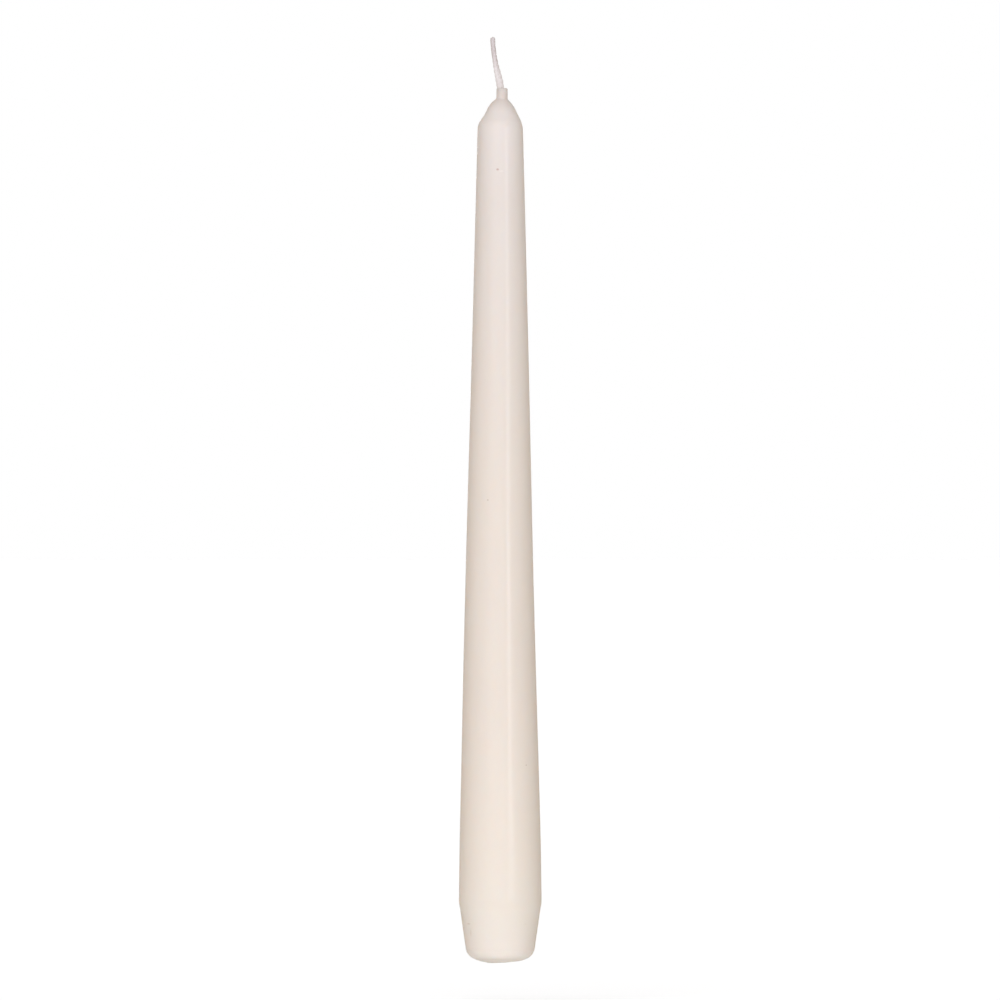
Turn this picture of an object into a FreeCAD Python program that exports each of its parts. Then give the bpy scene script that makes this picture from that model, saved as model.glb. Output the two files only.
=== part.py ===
import FreeCAD, Part
import math
import os

# A self-fitting taper candle. Sizes are millimetres. The candle stands along +Z with
# the middle of its lower end at the origin, and its wick leans towards -X.

# Wax body
wax_height = 250.0          # lower end to the top of the collar round the wick
base_diameter = 23.6        # the thickest place, just above the plug
shoulder_diameter = 12.9    # where the long taper ends and the tip begins
shoulder_rounding = 5.0     # soft edge between the two
taper_run_out = 9.0         # above the plug, where the taper would meet an upright side
tip_height = 10.35          # shoulder to the top of the collar

# Plug that wedges in a candlestick
plug_height = 17.1
plug_half_angle = 7.8       # degrees, the slope of the cone off the upright
plug_crown = 1.9            # how far the middle of the domed end stands below its rim
rim_radius = 4.2            # rounding between the domed end and the cone
crease_step = 0.12          # how far the upright side stands out past the cone's top

# Tip, left by two dips that end at different heights
first_dip_rise = 3.1        # shoulder to the waist between the two dips
waist_diameter = 9.2
dome_bulge = 0.3            # how far the upper dome swells out of its straight chord
collar_height = 3.1         # wax that climbed the wick
collar_thin_side = 0.08     # wax beside the wick, on the side that it leans to
collar_thick_side = 1.0     # wax beside the wick, on the other side
collar_root_radius = 0.8
collar_edge_radius = 0.3

# Flat braided cotton wick
wick_width = 2.1
wick_thickness = 1.5
wick_exposed = 14.6         # height that stands clear of the collar
wick_upright = 2.9          # height over which it still heads straight up
wick_bend_height = 7.3      # height above the collar that draws its bend
wick_bend_lean = 1.85       # how far to one side the bend is drawn
wick_lean = 2.3             # how far the wick's end stands to one side
wick_twist = 90.0           # degrees that the exposed braid turns about itself
wick_twist_height = 8.8     # height over which it turns
wick_end_radius = 0.6       # rounding of its cut end
end_seal = 1.5              # wax below the lower end of the wick
wick_clearance = 0.0        # the wax has soaked into the braid, so the two meet

# Places that follow from the sizes
base_radius = base_diameter / 2
shoulder_radius = shoulder_diameter / 2
waist_radius = waist_diameter / 2
collar_radius = (wick_width + collar_thin_side + collar_thick_side) / 2
collar_shift = (collar_thick_side - collar_thin_side) / 2
plug_top_radius = base_radius - crease_step
plug_end_radius = plug_top_radius - (plug_height - plug_crown) * math.tan(math.radians(plug_half_angle))
shoulder_z = wax_height - tip_height
collar_root_z = wax_height - collar_height
waist_z = shoulder_z + first_dip_rise

UP = FreeCAD.Vector(0, 0, 1)
LOFT_STEPS = 8              # stretches that shape the exposed wick


def at(radius, height):
    """A point of an outline that is turned about the candle's axis."""
    return FreeCAD.Vector(radius, 0, height)


def line(start, end):
    return Part.LineSegment(start, end).toShape()


def arc(start, middle, end):
    return Part.Arc(start, middle, end).toShape()


def turned(edges):
    """The solid that a closed outline sweeps in one full turn."""
    face = Part.Face(Part.Wire(edges))
    return face.revolve(FreeCAD.Vector(0, 0, 0), UP, 360)


def rounded_at(solid, height, radius):
    """Rounds the level circular edges of a turned solid that lie at one height."""
    level = [e for e in solid.Edges if len(e.Vertexes) == 1 and not e.Degenerated]
    rim = [e for e in level if abs(e.Vertexes[0].Z - height) < 1e-4]
    return solid.makeFillet(radius, rim).Solids[0]


def rounded_corner(before, corner, after, radius):
    """Start, middle and end of the arc that rounds a corner between two straight lines."""
    back = (before - corner).normalize()
    ahead = (after - corner).normalize()
    half_angle = back.getAngle(ahead) / 2
    reach = radius / math.tan(half_angle)
    centre = corner + (back + ahead).normalize() * (radius / math.sin(half_angle))
    middle = centre + (corner - centre).normalize() * radius
    return corner + back * reach, middle, corner + ahead * reach


def domed_end():
    """The shallow dome under the plug, from the axis out to its rim."""
    dome_radius = (plug_end_radius**2 + plug_crown**2) / (2 * plug_crown)
    half_turn = math.asin(plug_end_radius / dome_radius) / 2
    middle = at(dome_radius * math.sin(half_turn), dome_radius * (1 - math.cos(half_turn)))
    return arc(at(0, 0), middle, at(plug_end_radius, plug_crown))


def shank():
    """Plug and long taper, turned as one, up to the level of the shoulder."""
    rim = at(plug_end_radius, plug_crown)
    cone_top = at(plug_top_radius, plug_height)
    crease = at(base_radius, plug_height + crease_step)
    side_top = at(base_radius, plug_height + taper_run_out)
    shoulder = at(shoulder_radius, shoulder_z)
    half_bend = UP.getAngle(shoulder - side_top) / 2
    bend_radius = (side_top.z - crease.z) / math.tan(half_bend)
    _, bend_middle, taper_start = rounded_corner(crease, side_top, shoulder, bend_radius)
    outline = [
        domed_end(),
        line(rim, cone_top),
        line(cone_top, crease),
        arc(crease, bend_middle, taper_start),
        line(taper_start, shoulder),
        line(shoulder, at(0, shoulder_z)),
        line(at(0, shoulder_z), at(0, 0)),
    ]
    return rounded_at(turned(outline), plug_crown, rim_radius)


def tip():
    """Shoulder cone, upper dome and collar, leaning until the collar surrounds the wick."""
    shoulder = at(shoulder_radius, shoulder_z)
    waist = at(waist_radius, waist_z)
    root = at(collar_radius, collar_root_z)
    chord = root - waist
    outwards = FreeCAD.Vector(chord.z, 0, -chord.x).normalize()
    outline = [
        line(at(0, shoulder_z), shoulder),
        line(shoulder, waist),
        arc(waist, waist + chord / 2 + outwards * dome_bulge, root),
        line(root, at(collar_radius, wax_height)),
        line(at(collar_radius, wax_height), at(0, wax_height)),
        line(at(0, wax_height), at(0, shoulder_z)),
    ]
    upright = rounded_at(turned(outline), collar_root_z, collar_root_radius)
    upright = rounded_at(upright, wax_height, collar_edge_radius)
    lean = FreeCAD.Matrix()
    lean.A13 = collar_shift / tip_height
    lean.A14 = -lean.A13 * shoulder_z
    return upright.transformGeometry(lean)


def flat_oval(margin):
    """The braid's section: two flat sides and two round edges, with a margin all round."""
    side = wick_thickness / 2 + margin
    edge = wick_width / 2 + margin
    flat = (wick_width - wick_thickness) / 2
    return Part.Wire([
        line(FreeCAD.Vector(-flat, -side, 0), FreeCAD.Vector(flat, -side, 0)),
        arc(FreeCAD.Vector(flat, -side, 0), FreeCAD.Vector(edge, 0, 0), FreeCAD.Vector(flat, side, 0)),
        line(FreeCAD.Vector(flat, side, 0), FreeCAD.Vector(-flat, side, 0)),
        arc(FreeCAD.Vector(-flat, side, 0), FreeCAD.Vector(-edge, 0, 0), FreeCAD.Vector(-flat, -side, 0)),
    ])


def straight_run(margin, top):
    """The part of the braid that runs straight up the axis, from the wax below it."""
    face = Part.Face(flat_oval(margin))
    face.translate(at(0, end_seal - margin))
    return face.extrude(UP * (top - end_seal + margin))


def exposed_run():
    """The length above the collar, which bends to one side and twists as it goes."""
    bend = Part.BezierCurve()
    bend.setPoles([
        at(0, wax_height),
        at(0, wax_height + wick_upright),
        at(-wick_bend_lean, wax_height + wick_bend_height),
        at(-wick_lean, wax_height + wick_exposed),
    ])
    sections = []
    for step in range(LOFT_STEPS + 1):
        way = step / LOFT_STEPS
        twist = FreeCAD.Rotation(UP, wick_twist * min(1, way * wick_exposed / wick_twist_height))
        upright = FreeCAD.Rotation(UP, bend.tangent(way)[0])
        section = flat_oval(0)
        section.Placement = FreeCAD.Placement(bend.value(way), upright.multiply(twist))
        sections.append(section)
    blunt = Part.makeLoft(sections, True, False)
    cut_end = max(blunt.Faces, key=lambda face: face.CenterOfMass.z)
    return blunt.makeFillet(wick_end_radius, cut_end.Edges).Solids[0]


def wax_body():
    """One piece of wax with a blind channel that the wick fills."""
    blank = rounded_at(shank().fuse(tip()).removeSplitter(), shoulder_z, shoulder_rounding)
    channel = straight_run(wick_clearance, wax_height + wick_exposed)
    return blank.cut(channel).removeSplitter()


def wick():
    """One length of braid, from just above the lower end to its free end."""
    return straight_run(0, wax_height).fuse(exposed_run()).removeSplitter()


os.makedirs("parts", exist_ok=True)
wax_body().exportStep("parts/wax_body.step")
wick().exportStep("parts/wick.step")
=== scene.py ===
import math

import bmesh
import bpy
from mathutils import Matrix, Vector, geometry, noise


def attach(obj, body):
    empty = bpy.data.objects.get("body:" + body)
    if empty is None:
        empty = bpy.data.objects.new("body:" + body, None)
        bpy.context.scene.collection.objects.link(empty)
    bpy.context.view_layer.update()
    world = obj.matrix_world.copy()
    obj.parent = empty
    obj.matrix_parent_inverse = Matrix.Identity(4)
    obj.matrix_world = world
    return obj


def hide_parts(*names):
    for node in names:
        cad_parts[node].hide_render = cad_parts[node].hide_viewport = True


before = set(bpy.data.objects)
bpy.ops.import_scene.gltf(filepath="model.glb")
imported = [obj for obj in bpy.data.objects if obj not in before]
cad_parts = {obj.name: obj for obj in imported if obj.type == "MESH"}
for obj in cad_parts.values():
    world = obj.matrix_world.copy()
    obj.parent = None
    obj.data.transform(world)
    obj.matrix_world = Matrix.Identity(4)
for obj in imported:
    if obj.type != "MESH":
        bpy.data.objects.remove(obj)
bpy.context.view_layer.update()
mm = 0.001
scene = bpy.context.scene
scene.view_settings.view_transform = "Standard"


# Camera. A long lens, level with the middle of the candle and square to its front, so
# that the sides of the candle hardly converge.
camera_distance = 4.0
view_height = 285.7 * mm            # what the picture takes in at the candle
view_middle = 132.3 * mm            # height at the middle of the picture
view_side = -0.08 * mm
camera_data = bpy.data.cameras.new("camera")
camera_data.lens = camera_data.sensor_width * camera_distance / view_height
camera_data.clip_end = 50
camera = bpy.data.objects.new("camera", camera_data)
camera.location = (view_side, -camera_distance, view_middle)
camera.rotation_euler = (math.pi / 2, 0, 0)
scene.collection.objects.link(camera)
scene.camera = camera


# Floor and surroundings. A plain white table that runs out into a white room. The table
# is just lifted to white for the camera, so it still shows the candle's faint shadow.
# The candle can't stand on its domed end, so it is held a little above the table.
def seen_directly(nodes, links):
    """One where a ray comes from the camera or off a shiny surface, and otherwise zero."""
    path = nodes.new("ShaderNodeLightPath")
    most = path.outputs["Is Camera Ray"]
    for kind in ("Is Glossy Ray", "Is Transmission Ray"):
        either = nodes.new("ShaderNodeMath")
        either.operation = "MAXIMUM"
        links.new(most, either.inputs[0])
        links.new(path.outputs[kind], either.inputs[1])
        most = either.outputs[0]
    return most


table_clearance = 12 * mm
table_radius = 30.0                 # metres, so that its edge is never in view
room_light = (0.36, 0.291, 0.207)
lift_to_white = (0.415, 0.47, 0.54)

world = bpy.data.worlds.new("room")
world.use_nodes = True
nodes, links = world.node_tree.nodes, world.node_tree.links
white_or_room = nodes.new("ShaderNodeMix")
white_or_room.data_type = "RGBA"
white_or_room.inputs["A"].default_value = (*room_light, 1)
white_or_room.inputs["B"].default_value = (1, 1, 1, 1)
links.new(seen_directly(nodes, links), white_or_room.inputs["Factor"])
links.new(white_or_room.outputs["Result"], nodes["Background"].inputs["Color"])
scene.world = world

table_white = bpy.data.materials.new("table_white")
table_white.use_nodes = True
nodes, links = table_white.node_tree.nodes, table_white.node_tree.links
shader = nodes["Principled BSDF"]
shader.inputs["Base Color"].default_value = (0.97, 0.97, 0.97, 1)
shader.inputs["Roughness"].default_value = 0.9
shader.inputs["Specular IOR Level"].default_value = 0.0
shader.inputs["Emission Color"].default_value = (*lift_to_white, 1)
links.new(seen_directly(nodes, links), shader.inputs["Emission Strength"])

table_mesh = bpy.data.meshes.new("table")
bm = bmesh.new()
bmesh.ops.create_circle(bm, cap_ends=True, radius=table_radius, segments=64)
bm.to_mesh(table_mesh)
bm.free()
table_mesh.materials.append(table_white)
table = bpy.data.objects.new("table", table_mesh)
table.location.z = -table_clearance
scene.collection.objects.link(table)


# Lamps. Broad soft lamps in front and behind, low, so that the candle's shadow is faint.
# A narrow one on the right leaves the faint upright gleam on the wax, and a level one
# behind lights the back without reaching the front.
def soft_lamp(name, azimuth, elevation, power, spread, colour=(1, 1, 1)):
    """A distant lamp. Azimuth 0 is over the camera, and positive is to its right."""
    data = bpy.data.lights.new(name, "SUN")
    data.energy = power
    data.angle = math.radians(spread)
    data.color = colour
    lamp = bpy.data.objects.new(name, data)
    lamp.rotation_euler = (math.radians(90 - elevation), 0, math.radians(azimuth))
    scene.collection.objects.link(lamp)


soft_lamp("front_lamp", -12, 16, 2.0, 60, (0.955, 1.0, 1.06))
soft_lamp("rear_lamp", 180, 12, 1.05, 40)
soft_lamp("back_lamp", 180, 0, 0.7, 16)
soft_lamp("gleam_lamp", 31, 4, 0.45, 7, (0.92, 1.0, 1.08))


# Wax body. Poured and dipped paraffin in one piece: a domed end, a conical plug that
# wedges in a candlestick, the long taper, and a tip left by two dips of unequal depth,
# with a collar of wax that climbed the wick. The wax closes round the wick all along.
wax_height = 250.0
base_radius = 11.8
plug_height = 17.1
crease_height = 17.5                # where the cone meets the side, in a soft edge
run_out_height = 9.0                # above the plug, where the taper would meet the side
plug_rim = (9.62, 2.12)             # radius and height of the corner under the cone
dome_middle = 0.08                  # a hanging bead makes up the rest, down to the end
shoulder = (6.45, 239.65)
waist = (4.6, 242.75)
dome_corner = (3.5, 245.35)
collar_radius = 1.59
collar_root = 246.9
around = 160                        # faces round the candle
tip_step = 0.25                     # height of the faces at the tip, the plug and the side
plug_step = 0.4
side_step = 1.2

# corner of the outline, and how far from it the rounding starts
outline = [
    ((0, dome_middle), 0),
    ((2.25, dome_middle), 1.2),
    ((6.25, 0.67), 0.75),
    (plug_rim, 2.0),
    ((base_radius, crease_height), 0.7),
    ((base_radius, plug_height + run_out_height), run_out_height - 0.3),
    (shoulder, 1.3),
    (waist, 0.6),
    (dome_corner, 1.8),
    ((collar_radius, collar_root), 0.45),
    ((collar_radius, wax_height), 0.45),
    ((0, wax_height), 0),
]
bm = bmesh.new()
corners = [bm.verts.new((r, 0, z)) for (r, z), _ in outline]
for lower, upper in zip(corners, corners[1:]):
    bm.edges.new((lower, upper))
for vertex, (_, reach) in zip(list(corners), outline):
    if reach:
        bmesh.ops.bevel(bm, geom=[vertex], offset=reach, offset_type="OFFSET", affect="VERTICES",
                        segments=10, profile=0.5, material=-1, clamp_overlap=False)
for edge in list(bm.edges):
    low = min(v.co.z for v in edge.verts)
    step = side_step
    if low > shoulder[1] - 2:
        step = tip_step
    elif low < plug_height + 3:
        step = plug_step
    cuts = int(edge.calc_length() / step)
    if cuts:
        bmesh.ops.subdivide_edges(bm, edges=[edge], cuts=cuts)
bmesh.ops.spin(bm, geom=bm.verts[:] + bm.edges[:], cent=(0, 0, 0), axis=(0, 0, 1),
               angle=2 * math.pi, steps=around, use_merge=True, use_duplicate=False)
bmesh.ops.remove_doubles(bm, verts=bm.verts, dist=1e-4)


def ease(value, start, end):
    """Climbs smoothly from zero to one between two values."""
    share = min(max((value - start) / (end - start), 0), 1)
    return share * share * (3 - 2 * share)


def centre_at(height):
    """How far the middle of the candle stands to the right at a height."""
    bow = -0.22 * math.sin(math.pi * ease(height, plug_height, 200))
    tip_lean = 0.26 * ease(height, 239.5, 242.5)
    collar_lean = 0.22 * ease(height, 245.8, 247.4)
    end_sag = -0.8 * (1 - ease(height, 0.3, 0.75))
    return bow + tip_lean + collar_lean + end_sag


bead_place = (-1.45, 0.3)
bead_flat = 0.8                     # radius of the hanging bead's level middle
bead_radius = 2.2
side_swell = 0.05
skin_depth = 0.03                   # keeps the uneven skin within the size of the candle
wave_depth = 0.025
streak_depth = 0.008
collar_unevenness = 0.05
for vertex in bm.verts:
    x, y, z = vertex.co
    reach = math.hypot(x, y)
    wave = noise.noise(Vector((x / 7, y / 7, z / 35)))
    streak = noise.noise(Vector((x / 2.2, y / 2.2, z / 70 + 9)))
    swell = side_swell * ease(z, plug_height - 2, plug_height) * (1 - ease(z, 236, 240))
    ripple = swell - skin_depth + wave_depth * wave + streak_depth * streak
    if z > collar_root:
        ripple = collar_unevenness * noise.noise(Vector((x * 2.2, y * 2.2, z / 4)))
    outer = Vector((x, y)) * (1 + ripple / max(reach, 1)) + Vector((centre_at(z), 0))
    if z < 1:
        off_bead = math.hypot(x - bead_place[0], y - bead_place[1])
        z -= z * (1 - ease(off_bead, bead_flat, bead_radius))
    vertex.co = Vector((outer.x, outer.y, z)) * mm
bmesh.ops.recalc_face_normals(bm, faces=bm.faces)
for face in bm.faces:
    face.smooth = True
wax_mesh = bpy.data.meshes.new("wax")
bm.to_mesh(wax_mesh)
bm.free()
wax = bpy.data.objects.new("wax", wax_mesh)
scene.collection.objects.link(wax)
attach(wax, "root")
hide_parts("wax_body")


def colour_by_height(nodes, links, bottom, top, colours):
    """A colour that changes up a piece, from colours at shares of its height."""
    place = nodes.new("ShaderNodeTexCoord")
    split = nodes.new("ShaderNodeSeparateXYZ")
    links.new(place.outputs["Object"], split.inputs[0])
    share = nodes.new("ShaderNodeMapRange")
    share.inputs["From Min"].default_value = bottom * mm
    share.inputs["From Max"].default_value = top * mm
    links.new(split.outputs["Z"], share.inputs["Value"])
    ramp = nodes.new("ShaderNodeValToRGB")
    links.new(share.outputs["Result"], ramp.inputs["Fac"])
    stops = ramp.color_ramp.elements
    while len(stops) < len(colours):
        stops.new(0.5)
    for stop, (position, colour) in zip(stops, colours):
        stop.position = position
        stop.color = (*colour, 1)
    return ramp.outputs["Color"]


# share of the wax's height, and the colour there, with painted light at the lower end and on the
# plug
wax_colours_and_painted_light = [
    # painted light: the lowest stops are lighter than the wax, to make up for the shade under the
    # candle's end
    (0.0, (1.0, 0.96, 0.93)),
    (0.006, (1.0, 0.95, 0.92)),
    # painted light: up to 0.064 the plug is a little lighter than the side above, to even out the
    # shade on the plug
    (0.015, (0.862, 0.81, 0.775)),
    (0.03, (0.855, 0.806, 0.768)),
    (0.064, (0.862, 0.811, 0.763)),
    (0.072, (0.848, 0.794, 0.747)),
    (0.12, (0.845, 0.783, 0.73)),
    (0.3, (0.82, 0.755, 0.71)),
    (0.55, (0.805, 0.745, 0.705)),
    (0.87, (0.78, 0.73, 0.715)),
    (0.955, (0.797, 0.753, 0.752)),
    (0.972, (0.782, 0.74, 0.738)),
    (0.986, (0.72, 0.655, 0.64)),
    (1.0, (0.655, 0.625, 0.62)),
]
wax_finish = bpy.data.materials.new("satin_wax")
wax_finish.use_nodes = True
nodes, links = wax_finish.node_tree.nodes, wax_finish.node_tree.links
shader = nodes["Principled BSDF"]


def mark(place_mm, size_mm, strength):
    """Full strength at the middle of a small mark on the wax, fading to zero at its edge."""
    place = nodes.new("ShaderNodeTexCoord")
    offset = nodes.new("ShaderNodeVectorMath")
    offset.operation = "SUBTRACT"
    offset.inputs[1].default_value = Vector(place_mm) * mm
    links.new(place.outputs["Object"], offset.inputs[0])
    scaled = nodes.new("ShaderNodeVectorMath")
    scaled.operation = "DIVIDE"
    scaled.inputs[1].default_value = Vector(size_mm) * mm
    links.new(offset.outputs["Vector"], scaled.inputs[0])
    length = nodes.new("ShaderNodeVectorMath")
    length.operation = "LENGTH"
    links.new(scaled.outputs["Vector"], length.inputs[0])
    fade = nodes.new("ShaderNodeMapRange")
    fade.interpolation_type = "SMOOTHSTEP"
    fade.inputs["From Min"].default_value = 1.0
    fade.inputs["From Max"].default_value = 0.3
    fade.inputs["To Max"].default_value = strength
    links.new(length.outputs["Value"], fade.inputs["Value"])
    return fade.outputs["Result"]


# middle and half size in millimetres, strength, and colour
marks = [
    ((-0.75, -6.7, 226.6), (0.55, 2, 0.42), 0.7, (0.55, 0.36, 0.34)),
    ((0.35, -6.8, 226.1), (0.9, 2, 0.35), 0.3, (0.93, 0.89, 0.89)),
    ((-3.55, -8.3, 132.3), (0.26, 2, 0.26), 0.7, (0.45, 0.36, 0.30)),
    ((7.4, -8.1, 56.7), (0.3, 2, 0.25), 0.5, (0.50, 0.41, 0.34)),
    ((-8.95, -6.1, 11.4), (1.0, 1.2, 0.25), 0.45, (0.60, 0.49, 0.41)),
    ((-8.4, -6.5, 8.9), (0.22, 1.2, 1.5), 0.3, (0.60, 0.48, 0.39)),
    ((7.1, -8.0, 11.4), (0.4, 1.2, 0.2), 0.18, (0.60, 0.48, 0.39)),
]
# the wax's colour up its height, with painted light at the lower end and on the plug, then the
# small marks
wax_colour_and_painted_light = colour_by_height(nodes, links, 0, wax_height, wax_colours_and_painted_light)
for place_mm, size_mm, strength, colour in marks:
    mix = nodes.new("ShaderNodeMix")
    mix.data_type = "RGBA"
    links.new(mark(place_mm, size_mm, strength), mix.inputs["Factor"])
    links.new(wax_colour_and_painted_light, mix.inputs["A"])
    mix.inputs["B"].default_value = (*colour, 1)
    wax_colour_and_painted_light = mix.outputs["Result"]
links.new(wax_colour_and_painted_light, shader.inputs["Base Color"])
shader.inputs["Subsurface Weight"].default_value = 0.5
shader.inputs["Subsurface Radius"].default_value = (1.0, 0.75, 0.6)
shader.inputs["Subsurface Scale"].default_value = 0.0015
shader.inputs["Roughness"].default_value = 0.5
shader.inputs["Specular IOR Level"].default_value = 0.0
shader.inputs["Coat Weight"].default_value = 0.05
shader.inputs["Coat IOR"].default_value = 2.8
shader.inputs["Coat Roughness"].default_value = 0.25
wax_mesh.materials.append(wax_finish)


# Wick. Cotton braided flat from three bundles of yarn and soaked in wax. It runs up the
# axis from just above the lower end, and its free length leans to the left and twists
# a quarter turn. It was cut square.
wick_bend = [(0, 250), (0, 252.5), (-1.88, 256.7), (-2.2, 264.5)]
wick_end = 1.5                      # height of the wick's lower end
wick_top = wick_bend[-1][1]
quarter_turn_height = 8.8
plait_height = 4.2                  # height in which a bundle crosses over and back
swing_across = 0.32
swing_through = 0.08
bundle_width = 0.77                 # half width and half thickness of one bundle
bundle_depth = 0.63
buried_size = 0.93                  # the wax squeezes the braid a little
loosening_height = 1.0              # above the collar, where it has its full size again
end_rounding = 0.5
blunt_share = 0.12                  # how blunt the cut end stays
yarn_turn = 14.0                    # height in which the yarns turn once in their bundle
yarns = 4
yarn_groove = 0.01
buried_step = 0.7
exposed_steps = 96
ring_faces = 24

buried_height = wax_height - wick_end
buried_count = int(buried_height / buried_step)
line = [Vector((0, 0, wick_end + buried_height * i / buried_count)) for i in range(buried_count)]
line += geometry.interpolate_bezier(*[Vector((x, 0, z)) for x, z in wick_bend], exposed_steps + 1)
heights = [0.0]
for before, after in zip(line, line[1:]):
    heights.append(heights[-1] + (after - before).length)
wick_length = heights[-1]


def size_at(height):
    """Squeezed inside the wax, a little loose just above it."""
    loose = min(max((height - wax_height) / loosening_height, 0), 1)
    return buried_size + (1 - buried_size) * loose


def bundle_centre(index, bundle):
    """Middle of one bundle at one step up the wick, and the braid's two directions there."""
    ahead = line[min(index + 1, len(line) - 1)] - line[max(index - 1, 0)]
    height = line[index].z
    twist = math.radians(90) * min(max((height - wax_height) / quarter_turn_height, 0), 1)
    upright = Vector((0, 0, 1)).rotation_difference(ahead)
    broad = upright @ Vector((math.cos(twist), math.sin(twist), 0))
    thin = upright @ Vector((-math.sin(twist), math.cos(twist), 0))
    phase = 2 * math.pi * (heights[index] / plait_height + bundle / 3)
    across = swing_across * math.sin(phase) * size_at(height)
    through = swing_through * math.sin(2 * phase) * size_at(height)
    return line[index] + broad * across + thin * through, broad, thin


plait = bmesh.new()
for bundle in range(3):
    path = [bundle_centre(i, bundle) for i in range(len(line))]
    frames = []
    for i, (middle, broad, thin) in enumerate(path):
        ahead = (path[min(i + 1, len(path) - 1)][0] - path[max(i - 1, 0)][0]).normalized()
        deep = (thin - ahead * thin.dot(ahead)).normalized()
        wide = deep.cross(ahead)
        left = min((wick_length - heights[i]) / end_rounding, 1)
        swell = math.sqrt(max(1 - (1 - left) ** 2, blunt_share)) * size_at(line[i].z)
        axes = Matrix((wide, deep, ahead)).transposed().to_4x4()
        size = Matrix.Diagonal((bundle_width * swell, bundle_depth * swell, 1, 1))
        turn = Matrix.Rotation(2 * math.pi * heights[i] / yarn_turn, 4, "Z")
        frames.append(Matrix.Translation(middle) @ axes @ size @ turn)
    bm = bmesh.new()
    ring = bmesh.ops.create_circle(bm, cap_ends=True, radius=1, segments=ring_faces)["verts"]
    for vertex in ring:
        bearing = math.atan2(vertex.co.y, vertex.co.x)
        vertex.co *= 1 - yarn_groove * (1 - math.cos(yarns * bearing))
    bmesh.ops.transform(bm, matrix=frames[0], verts=ring)
    edges = bm.edges[:]
    for below, above in zip(frames, frames[1:]):
        grown = bmesh.ops.extrude_edge_only(bm, edges=edges)["geom"]
        ring = [g for g in grown if isinstance(g, bmesh.types.BMVert)]
        edges = [g for g in grown if isinstance(g, bmesh.types.BMEdge) and
                 g.verts[0] in ring and g.verts[1] in ring]
        bmesh.ops.transform(bm, matrix=above @ below.inverted(), verts=ring)
    bmesh.ops.contextual_create(bm, geom=edges)
    bmesh.ops.recalc_face_normals(bm, faces=bm.faces)
    bmesh.ops.scale(bm, vec=(mm, mm, mm), verts=bm.verts)
    one_bundle = bpy.data.meshes.new("bundle")
    bm.to_mesh(one_bundle)
    bm.free()
    plait.from_mesh(one_bundle)
    bpy.data.meshes.remove(one_bundle)
for face in plait.faces:
    face.smooth = True
wick_mesh = bpy.data.meshes.new("wick_plait")
plait.to_mesh(wick_mesh)
plait.free()
wick = bpy.data.objects.new("wick_plait", wick_mesh)
scene.collection.objects.link(wick)
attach(wick, "root")
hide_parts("wick")

# share of the free length's height, and its colour there
cotton_colours = [
    (0.0, (0.73, 0.68, 0.68)),
    (0.08, (0.75, 0.705, 0.73)),
    (0.29, (0.79, 0.755, 0.785)),
    (0.45, (0.76, 0.715, 0.745)),
    (0.62, (0.67, 0.615, 0.645)),
    (0.85, (0.65, 0.60, 0.63)),
    (1.0, (0.69, 0.65, 0.685)),
]
cotton = bpy.data.materials.new("waxed_cotton")
cotton.use_nodes = True
nodes, links = cotton.node_tree.nodes, cotton.node_tree.links
shader = nodes["Principled BSDF"]
cotton_colour = colour_by_height(nodes, links, wax_height, wick_top, cotton_colours)
links.new(cotton_colour, shader.inputs["Base Color"])
shader.inputs["Roughness"].default_value = 0.55
shader.inputs["Specular IOR Level"].default_value = 0.25
wick_mesh.materials.append(cotton)
